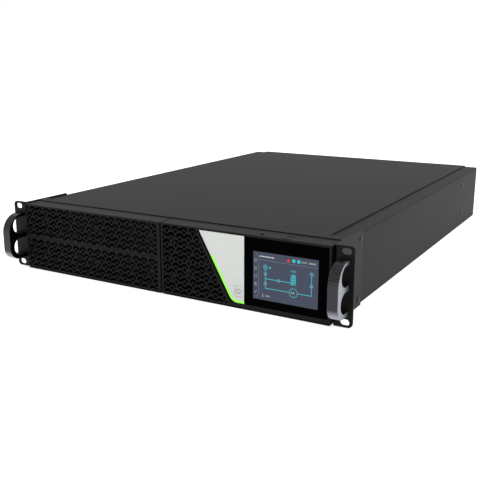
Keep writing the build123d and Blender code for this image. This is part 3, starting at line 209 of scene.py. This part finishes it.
def moulded(name, color, roughness=0.55, grain=0.00005, edge=0.0003, scale=3200.0, specular=0.09):
    """Moulded plastic with a spark-eroded grain."""
    shader = Shader(name, color, roughness)
    shader.set("Specular IOR Level", specular)
    mottled(shader, 14.0, 0.96, 1.05)
    worn_rim(shader, 0.0005, shade(color, 1.5), 0.35)
    inputs = {"Vector": shader.place(), "Scale": scale}
    cells = shader.add("ShaderNodeTexVoronoi", inputs).outputs["Distance"]
    shader.link(shader.range(shader.noise(500.0), roughness - 0.05, roughness + 0.06), "Roughness")
    shader.round_edges(edge)
    shader.bump(cells, 0.3, grain)
    return shader.material


def satin_metal(name, color, roughness, metallic=1.0, stretch=(1, 60, 1), edge=0.0004):
    """Metal with fine drawn lines along one direction."""
    shader = Shader(name, color, roughness, metallic)
    mottled(shader, 25.0, 0.93, 1.05)
    lines = shader.noise(900.0, detail=5.0, stretch=stretch)
    shader.link(shader.range(lines, roughness - 0.07, roughness + 0.1), "Roughness")
    shader.round_edges(edge)
    shader.bump(lines, 0.12, 0.00003)
    return shader.material


def painted_light_grip(name):
    """Dark satin front on a metal grip, with a painted highlight (a painted reflection) on its outer side
    and where it turns under.

    Painted shade darkens the grooves, through an ambient occlusion node, and the side that faces the rack.
    """
    satin = (0.034, 0.035, 0.039)
    shader = Shader(name, (0.03, 0.031, 0.034), 0.3, 0.85)
    # Painted highlight: the colour goes from dark satin to light grey where the grip turns under or faces
    # outward, a painted reflection of the lights.
    normal = shader.add("ShaderNodeNewGeometry").outputs["Normal"]
    normal = shader.add("ShaderNodeSeparateXYZ", {"Vector": normal}).outputs
    place_x = shader.add("ShaderNodeSeparateXYZ", {"Vector": shader.place()}).outputs["X"]
    outward = shader.math("MULTIPLY", normal["X"], shader.math("SIGN", place_x))
    painted_highlight = shader.math("MAXIMUM", shader.span(normal["Z"], -0.12, -0.6), shader.span(outward, 0.35, 0.9))
    color = shader.ramp(painted_highlight, [(0.0, satin), (1.0, (0.25, 0.265, 0.29))])

    # Painted shade: the grooves, found by an ambient occlusion node, and the side that faces the rack are
    # darkened in the base colour.
    groove_occlusion = shader.add("ShaderNodeAmbientOcclusion", {"Distance": 0.0016}, samples=8).outputs["AO"]
    unshaded_side = shader.math("SUBTRACT", 1.0, shader.span(outward, -0.5, -0.9))
    unshaded = shader.math("MULTIPLY", shader.span(groove_occlusion, 0.45, 0.85), unshaded_side)
    dark = shader.ramp(unshaded, [(0.0, (0.12, 0.12, 0.12)), (1.0, (1.0, 1.0, 1.0))])
    shader.link(shader.vector_math("MULTIPLY", color, dark), "Base Color")

    lines = shader.noise(900.0, detail=4.0, stretch=(60, 1, 1))
    shader.link(shader.range(lines, 0.24, 0.40), "Roughness")
    shader.round_edges(0.00015)
    shader.bump(lines, 0.1, 0.00003)
    return shader.material


def glowing(name, color, strength, roughness=0.35, base=0.12):
    """Lit light guide or screen part: mostly its own light over a dark body colour."""
    shader = Shader(name, color, roughness)
    shader.set("Specular IOR Level", 0.12)
    shader.set("Emission Color", (*color, 1))
    shader.set("Emission Strength", strength)
    drift = shader.noise(60.0, detail=1.0)
    stops = [(0.3, shade(color, 0.92 * base)), (0.7, shade(color, base))]
    shader.link(shader.ramp(drift, stops), "Base Color")
    shader.bump(shader.noise(1500.0), 0.05, 0.00002)
    return shader.material


def board_finish(name):
    """Green solder mask with faint tracks."""
    shader = Shader(name, (0.015, 0.11, 0.04), 0.35)
    brick = shader.add("ShaderNodeTexBrick", {
        "Vector": shader.place(), "Scale": 160.0, "Color1": (0.015, 0.12, 0.045, 1),
        "Color2": (0.012, 0.10, 0.035, 1), "Mortar": (0.03, 0.2, 0.08, 1), "Mortar Size": 0.05,
    })
    shader.link(brick.outputs["Color"], "Base Color")
    shader.bump(brick.outputs["Fac"], 0.2, 0.00003)
    return shader.material


def wound_copper(name):
    """Enamelled wire wound side by side."""
    shader = Shader(name, (0.42, 0.13, 0.035), 0.32, 0.4)
    wires = shader.add("ShaderNodeTexWave", {"Vector": shader.place(), "Scale": 180.0, "Distortion": 0.6})
    stops = [(0.0, (0.22, 0.06, 0.02)), (0.6, (0.5, 0.17, 0.05))]
    shader.link(shader.ramp(wires.outputs["Fac"], stops), "Base Color")
    shader.bump(wires.outputs["Fac"], 0.7, 0.0004)
    return shader.material


def black_glass(name):
    """Black-printed cover glass with faint smears."""
    shader = Shader(name, (0.0002, 0.0002, 0.0003), 0.05)
    shader.set("Specular IOR Level", 0.008)
    smear = shader.noise(40.0, detail=5.0, stretch=(1, 1, 0.4))
    shader.link(shader.range(smear, 0.04, 0.11), "Roughness")
    shader.bump(shader.noise(15.0, detail=1.0), 0.02, 0.00005)
    return shader.material


CASE = (0.0088, 0.0088, 0.0089)
BEZEL = (0.0072, 0.0072, 0.0073)
EAR = (0.003, 0.003, 0.0032)
ACCENT = (0.56, 0.575, 0.55)

finishes = {
    "case_paint": powder_coat("charcoal_powder_coat", CASE),
    "ear_paint": powder_coat("black_powder_coat", EAR, roughness=0.5),
    "zinc_sheet": satin_metal("zinc_sheet", (0.52, 0.53, 0.55), 0.38),
    "screw_black": satin_metal("black_oxide_screw", (0.012, 0.012, 0.0125), 0.4, metallic=0.6),
    "screw_zinc": satin_metal("bright_zinc", (0.62, 0.62, 0.64), 0.24),
    "handle_metal": painted_light_grip("dark_grip_metal_painted_light"),
    "bezel_plastic": moulded("charcoal_moulded", BEZEL),
    "accent_plastic": moulded("light_grey_moulded", ACCENT, roughness=0.42, grain=0.00003),
    "light_guide": glowing("green_light_guide", (0.30, 0.93, 0.09), 0.85, base=0.3),
    "button_plastic": moulded("button_grey_moulded", shade(ACCENT, 0.96), roughness=0.4, grain=0.00003),
    "black_glass": black_glass("black_cover_glass"),
    "screen": glowing("screen_backing", (0.06, 0.07, 0.11), 0.4),
    "black_plastic": moulded("black_moulded", (0.012, 0.012, 0.013), roughness=0.42),
    "grey_plastic": moulded("grey_moulded", (0.18, 0.19, 0.20), roughness=0.45),
    "battery_case": moulded("battery_case", (0.06, 0.062, 0.066), roughness=0.5),
    "copper": satin_metal("tinned_copper", (0.78, 0.42, 0.24), 0.3),
    "circuit_board": board_finish("green_solder_mask"),
    "heat_sink": satin_metal("extruded_aluminium", (0.62, 0.63, 0.64), 0.36),
    "choke": wound_copper("wound_choke"),
    "capacitor": moulded("capacitor_sleeve", (0.01, 0.012, 0.03), roughness=0.28),
    "relay": moulded("relay_case", (0.015, 0.04, 0.16), roughness=0.35),
    "port_metal": satin_metal("plated_shell", (0.6, 0.6, 0.62), 0.28),
    "plug_green": moulded("terminal_green", (0.02, 0.22, 0.06), roughness=0.42),
    "button_red": moulded("breaker_button_red", (0.45, 0.02, 0.015), roughness=0.38),
}


def finish_nodes():
    """Gives every CAD node the finish of its material slot."""
    for entry in frame["record"]["subparts"]:
        data = nodes[entry["node"]].data
        data.materials.clear()
        data.materials.append(finishes[entry["material_slot"]])


RIM = 0.75 * MM
FACE_DEPTH = 0.7 * MM
# Painted shade: a darker, rougher copy of the bezel plastic for the walls inside the openings and the
# hollow back.
painted_shade_finish = moulded("charcoal_moulded_painted_shade", (0.0058, 0.0058, 0.0059), roughness=0.75, specular=0.12)


def paint_shade_inside(node_name):
    """Gives the walls of a bezel's openings and its hollow back a darker, rougher copy of the bezel
    plastic: painted shade in the recesses.
    """
    data = nodes[node_name].data
    data.materials.append(painted_shade_finish)
    low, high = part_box(node_name)
    for face in data.polygons:
        centre = face.center
        from_rim = min(centre.x - low.x, high.x - centre.x, centre.z - low.z, high.z - centre.z)
        outside = from_rim < RIM or centre.y - low.y < FACE_DEPTH
        face.material_index = 0 if outside else 1


finish_nodes()
paint_shade_inside("battery_bezel")
paint_shade_inside("main_bezel")


# ------------------------------------------------------------------ flat signs on the front
class Sign:
    """Thin printed or lit shapes of one colour, facing forwards, in millimetres from a corner."""

    def __init__(self, origin, face_y, thick):
        self.mesh = bmesh.new()
        self.origin = origin
        self.face_y = face_y
        self.thick = thick

    def polygon(self, points):
        front = []
        back = []
        for x, z in points:
            at_x = self.origin[0] + x * MM
            at_z = self.origin[1] + z * MM
            front.append(self.mesh.verts.new((at_x, self.face_y - self.thick, at_z)))
            back.append(self.mesh.verts.new((at_x, self.face_y, at_z)))
        self.mesh.faces.new(front)
        count = len(points)
        for i in range(count):
            j = (i + 1) % count
            self.mesh.faces.new((front[j], front[i], back[i], back[j]))

    def bar(self, start, end, width):
        along = (Vector(end) - Vector(start)).normalized() * width / 2
        across = Vector((-along.y, along.x))
        first = Vector(start)
        last = Vector(end)
        corners = [first + across, first - across, last - across, last + across]
        self.polygon([(c.x, c.y) for c in corners])

    def path(self, points, width):
        for start, end in zip(points, points[1:]):
            self.bar(start, end, width)

    def disc(self, centre, radius, steps=28):
        angles = [2 * pi * i / steps for i in range(steps)]
        self.polygon([(centre[0] + radius * cos(a), centre[1] + radius * sin(a)) for a in angles])

    def ring(self, centre, radius, width, start=0.0, sweep=360.0, steps=32):
        for i in range(steps):
            a = radians(start + sweep * i / steps)
            b = radians(start + sweep * (i + 1) / steps)
            inner = radius - width / 2
            outer = radius + width / 2
            self.polygon([
                (centre[0] + inner * cos(a), centre[1] + inner * sin(a)),
                (centre[0] + outer * cos(a), centre[1] + outer * sin(a)),
                (centre[0] + outer * cos(b), centre[1] + outer * sin(b)),
                (centre[0] + inner * cos(b), centre[1] + inner * sin(b)),
            ])

    def panel(self, low, high, corner, steps=5):
        """Rounded rectangle."""
        points = []
        left, right = low[0] + corner, high[0] - corner
        base, top = low[1] + corner, high[1] - corner
        centres = ((right, top), (left, top), (left, base), (right, base))
        for quarter, (cx, cz) in enumerate(centres):
            for i in range(steps + 1):
                a = radians(90 * quarter + 90 * i / steps)
                points.append((cx + corner * cos(a), cz + corner * sin(a)))
        self.polygon(points)

    def frame(self, low, high, width):
        self.path([low, (high[0], low[1]), high, (low[0], high[1]), low], width)

    def make(self, name, material, body, slot):
        bmesh.ops.recalc_face_normals(self.mesh, faces=self.mesh.faces)
        data = bpy.data.meshes.new(name)
        self.mesh.to_mesh(data)
        self.mesh.free()
        data.materials.append(material)
        piece = bpy.data.objects.new(name, data)
        bpy.context.scene.collection.objects.link(piece)
        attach(piece, body)
        return piece


# ------------------------------------------------------------------ the lit screen
# Places on the screen are in millimetres from its lower left corner.
SCREEN_BORDER = 3.5
SCREEN_LEFT = 4.3
SCREEN_CORNER_R = 0.8
LAYER = 0.03 * MM
glass_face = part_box("display_glass")[0].y
panel_low, panel_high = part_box("screen_panel")
screen_corner = (panel_low.x + SCREEN_LEFT * MM, panel_low.z + SCREEN_BORDER * MM)
screen_width = (panel_high.x - panel_low.x) / MM - SCREEN_LEFT - SCREEN_BORDER
screen_height = (panel_high.z - panel_low.z) / MM - 2 * SCREEN_BORDER

CYAN = (0.04, 0.46, 0.52)
PALE = (0.27, 0.31, 0.34)
BOX_BLUE = (0.065, 0.19, 0.27)
INPUT_BLUE = (0.05, 0.16, 0.24)
WHITE = (0.55, 0.56, 0.58)
RED = (0.70, 0.03, 0.03)
SCREEN_BLUE = (0.050, 0.060, 0.092)

# Power path
LINE = 0.72
INPUT = (15.1, 37.6)
INPUT_R = 2.6
OUTPUT = (69.9, 37.5)
OUTPUT_R = 2.0
RING_WIDTH = 0.35
MAIN_Z = 13.8
BRANCH_Z = 24.6
UPPER_BOX_Z = 29.9
LOWER_BOX_Z = 19.1
BRANCH_BOX_X = 31.0
BOX_HALF = 2.0
BOX_CROSS = 1.2
BOX_GAP = 2.1
LINE_TOP = 34.9
OUTPUT_LINE_TOP = 35.3
BATTERY = ((45.9, 22.6), (51.5, 33.2))
BATTERY_STRIPES = 5
STRIPE_PITCH = 1.9
LOAD = (48.9, MAIN_Z)
LOAD_R = 4.8
LOAD_GAP = 5.2
LOAD_DASHES = 12
DASH_SWEEP = 21

# Header and menu column
HEADER_Z = 49.2
SEPARATOR_Z = 45.1
TITLE_X = 8.0
TITLE_STROKES = 6
TITLE_PITCH = 3.0
TITLE_STROKE = 2.5
MENU_X = 7.0
MENU_ICON_X = 3.0


def screen_sign(layer):
    """A sign on the screen; higher layers lie in front."""
    return Sign(screen_corner, glass_face - (layer - 1) * LAYER, LAYER)


def lit(name, color):
    """Material of a lit part of the screen."""
    return glowing(name, color, 1.0, 0.3)


def contactor(boxes, lines, centre):
    """A contactor symbol: a square with a cross on it."""
    x, z = centre
    boxes.panel((x - BOX_HALF, z - BOX_HALF), (x + BOX_HALF, z + BOX_HALF), 0.4)
    lines.bar((x - BOX_CROSS, z - BOX_CROSS), (x + BOX_CROSS, z + BOX_CROSS), 0.45)
    lines.bar((x - BOX_CROSS, z + BOX_CROSS), (x + BOX_CROSS, z - BOX_CROSS), 0.45)


def draw_wave(sign, centre, width, height, steps=14):
    """One period of a sine wave."""
    points = []
    for i in range(steps + 1):
        x = centre[0] + width * (i / steps - 0.5)
        points.append((x, centre[1] + height * sin(2 * pi * i / steps)))
    sign.path(points, 0.4)


def draw_lines(cyan):
    """The lines that join input, battery, load and output."""
    stretches = (
        (LINE_TOP, UPPER_BOX_Z + BOX_GAP),
        (UPPER_BOX_Z - BOX_GAP, LOWER_BOX_Z + BOX_GAP),
        (LOWER_BOX_Z - BOX_GAP, MAIN_Z),
    )
    for top, low in stretches:
        cyan.bar((INPUT[0], top), (INPUT[0], low), LINE)
    cyan.bar((INPUT[0], BRANCH_Z), (BRANCH_BOX_X - BOX_GAP, BRANCH_Z), LINE)
    cyan.bar((BRANCH_BOX_X + BOX_GAP, BRANCH_Z), (BATTERY[0][0], BRANCH_Z), LINE)
    cyan.bar((INPUT[0] - LINE / 2, MAIN_Z), (LOAD[0] - LOAD_GAP, MAIN_Z), LINE)
    cyan.bar((LOAD[0] + LOAD_GAP, MAIN_Z), (OUTPUT[0] + LINE / 2, MAIN_Z), LINE)
    cyan.bar((OUTPUT[0], OUTPUT_LINE_TOP), (OUTPUT[0], BRANCH_Z + BOX_GAP), LINE)
    cyan.bar((OUTPUT[0], BRANCH_Z - BOX_GAP), (OUTPUT[0], MAIN_Z), LINE)


def draw_terminal(deep, cyan, pale, centre, radius, wave):
    """Input or output: a filled ring with a wave in it."""
    deep.disc(centre, radius - 0.1)
    cyan.ring(centre, radius, RING_WIDTH)
    draw_wave(pale, centre, *wave)


def draw_battery(cyan):
    """A striped cell with its cap."""
    cyan.frame(*BATTERY, 0.4)
    cyan.bar((47.4, 33.8), (50.0, 33.8), 0.8)
    for i in range(BATTERY_STRIPES):
        base = BATTERY[0][1] + 0.5 + STRIPE_PITCH * i
        cyan.bar((BATTERY[0][0] + 0.4, base), (BATTERY[1][0] - 0.4, base + STRIPE_PITCH), 1.15)


def build_power_path(cyan, pale, boxes, deep):
    """Input, bypass, battery, load and output, joined by lines."""
    draw_lines(cyan)
    box_places = (
        (INPUT[0], UPPER_BOX_Z), (INPUT[0], LOWER_BOX_Z), (BRANCH_BOX_X, BRANCH_Z), (OUTPUT[0], BRANCH_Z),
    )
    for centre in box_places:
        contactor(boxes, pale, centre)
    draw_terminal(deep, cyan, pale, INPUT, INPUT_R, (2.8, 0.9))
    draw_terminal(deep, cyan, pale, OUTPUT, OUTPUT_R, (2.2, 0.7))
    cyan.panel((19.7, 36.5), (21.5, 38.7), 0.4)
    for i in range(LOAD_DASHES):
        cyan.ring(LOAD, LOAD_R, 0.8, start=5 + i * 360 / LOAD_DASHES, sweep=DASH_SWEEP, steps=4)
    draw_battery(cyan)


def build_side_menu(pale):
    """Menu column: a bracket line and five small outline icons."""
    pale.path([(3.9, 2.4), (MENU_X, 5.9), (MENU_X, 48.2), (3.9, 51.6)], 0.2)
    pale.bar((MENU_X + 0.6, SEPARATOR_Z), (screen_width - 0.9, SEPARATOR_Z), 0.18)
    pale.path([(1.3, 44.0), (MENU_ICON_X, 45.7), (4.7, 44.0)], 0.4)
    pale.frame((1.8, 42.5), (4.2, 44.2), 0.35)
    pale.ring((MENU_ICON_X, 35.0), 1.6, 0.4)
    pale.bar((2.2, 35.0), (3.8, 35.0), 0.5)
    pale.ring((MENU_ICON_X, 26.2), 1.5, 0.4)
    for corner in ((1.5, 17.3), (3.2, 17.3), (1.5, 15.4), (3.2, 15.4)):
        pale.frame(corner, (corner[0] + 1.3, corner[1] + 1.4), 0.3)
    pale.bar((1.7, 6.8), (4.3, 9.6), 0.7)


def build_header(cyan, white, red):
    """Title strokes and status signs along the top edge."""
    for i in range(TITLE_STROKES):
        start = TITLE_X + TITLE_PITCH * i
        white.bar((start, HEADER_Z), (start + TITLE_STROKE, HEADER_Z), 1.1)
    red.polygon([(42.5, HEADER_Z + 2.0), (40.2, HEADER_Z - 1.9), (44.8, HEADER_Z - 1.9)])
    for x in (48.9, 54.7):
        cyan.disc((x, HEADER_Z), 2.0)


def build_thermometer(pale):
    pale.disc((12.0, 4.4), 0.85)
    pale.bar((12.0, 4.7), (12.0, 7.5), 0.6)


def build_screen():
    """The lit screen: a one-line diagram of the power path, with generic signs."""
    background = screen_sign(1)
    background.panel((0, 0), (screen_width, screen_height), SCREEN_CORNER_R)
    background.make("screen_background", lit("screen_blue", SCREEN_BLUE), "chassis", "screen")

    cyan = screen_sign(2)
    boxes = screen_sign(2)
    deep = screen_sign(2)
    red = screen_sign(2)
    pale = screen_sign(3)
    white = screen_sign(3)
    build_power_path(cyan, pale, boxes, deep)
    build_side_menu(pale)
    build_header(cyan, white, red)
    build_thermometer(pale)

    cyan.make("screen_cyan_lines", lit("screen_cyan", CYAN), "chassis", "screen")
    boxes.make("screen_contactors", lit("screen_box_blue", BOX_BLUE), "chassis", "screen")
    deep.make("screen_terminals", lit("screen_input_blue", INPUT_BLUE), "chassis", "screen")
    red.make("screen_red_signs", lit("screen_red", RED), "chassis", "screen")
    white.make("screen_title_strokes", lit("screen_white", WHITE), "chassis", "screen")
    pale.make("screen_pale_signs", lit("screen_pale", PALE), "chassis", "screen")


def screen_number(name, text, place, height, material):
    """A generic number on the screen."""
    curve = bpy.data.curves.new(name, "FONT")
    curve.body = text
    curve.size = height * MM
    curve.extrude = LAYER / 2
    curve.materials.append(material)
    piece = bpy.data.objects.new(name, curve)
    x = screen_corner[0] + place[0] * MM
    z = screen_corner[1] + place[1] * MM
    piece.location = (x, glass_face - 1.5 * LAYER, z)
    piece.rotation_euler = (pi / 2, 0, 0)
    bpy.context.scene.collection.objects.link(piece)
    bpy.context.view_layer.update()
    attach(piece, "chassis")


def build_numbers():
    """Clock, charge, load and temperature readings."""
    white_digits = lit("screen_digits", WHITE)
    cyan_digits = lit("screen_cyan_digits", CYAN)
    screen_number("clock_reading", "01/01  12:00:00", (58.2, 48.2), 2.6, white_digits)
    screen_number("charge_reading", "100%", (45.2, 36.6), 3.0, cyan_digits)
    screen_number("load_reading", "25%", (45.9, 12.8), 2.7, white_digits)
    screen_number("temperature_reading", "25.0", (15.4, 4.1), 2.9, white_digits)


PRINT_THICK = 0.05 * MM
STANDBY_R = 2.7
STANDBY_LINE = 0.5


def build_button_sign():
    """The standby sign on the power button: a ring open at the top, with a bar in the gap."""
    low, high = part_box("power_button")
    centre = ((low.x + high.x) / 2, (low.z + high.z) / 2)
    sign = Sign(centre, low.y, PRINT_THICK)
    sign.ring((0, 0), STANDBY_R, STANDBY_LINE, start=120, sweep=300, steps=40)
    sign.bar((0, 0.6), (0, 3.4), STANDBY_LINE)
    material = moulded("standby_print", (0.025, 0.026, 0.027), roughness=0.5)
    sign.make("standby_sign", material, "power_button", "button_plastic")


build_screen()
build_numbers()
build_button_sign()


# ------------------------------------------------------------------ floor and light
SKY = 1.0
FLOOR_SIZE = 30
FLOOR_GAP = 0.0002
FLOOR_GLOW = 0.6


def add_floor():
    """Seamless white sweep, lit a little from within so that it stays even."""
    shader = Shader("pale_floor", (0.80, 0.80, 0.80), 0.8)
    shader.set("Specular IOR Level", 0.0)
    shader.set("Emission Color", (1, 1, 1, 1))
    shader.set("Emission Strength", FLOOR_GLOW)
    stops = [(0.3, (0.79, 0.79, 0.79)), (0.7, (0.81, 0.81, 0.81))]
    shader.link(shader.ramp(shader.noise(3.0), stops), "Base Color")
    bpy.ops.mesh.primitive_plane_add(size=FLOOR_SIZE, location=(0, 0, CAD_BOX[0][2] - FLOOR_GAP))
    floor = bpy.context.object
    floor.name = "floor"
    floor.data.materials.append(shader.material)


def add_light(name, location, size, power, aim=(0, 0, 0.04)):
    data = bpy.data.lights.new(name, "AREA")
    data.shape = "RECTANGLE"
    data.size = size[0]
    data.size_y = size[1]
    data.energy = power
    light = bpy.data.objects.new(name, data)
    light.location = location
    light.rotation_euler = (Vector(aim) - Vector(location)).to_track_quat("-Z", "Y").to_euler()
    bpy.context.scene.collection.objects.link(light)


def add_world():
    world = bpy.data.worlds.new("studio")
    world.use_nodes = True
    background = world.node_tree.nodes["Background"]
    background.inputs["Color"].default_value = (1, 1, 1, 1)
    background.inputs["Strength"].default_value = SKY
    bpy.context.scene.world = world


add_floor()
add_world()
add_light("top_softbox", (0.2, 0.2, 2.2), (2.4, 2.4), 2)
add_light("right_softbox", (2.4, 0.6, 1.0), (1.4, 1.6), 27)
add_light("front_softbox", (-0.8, -2.4, 1.2), (1.6, 1.2), 2)
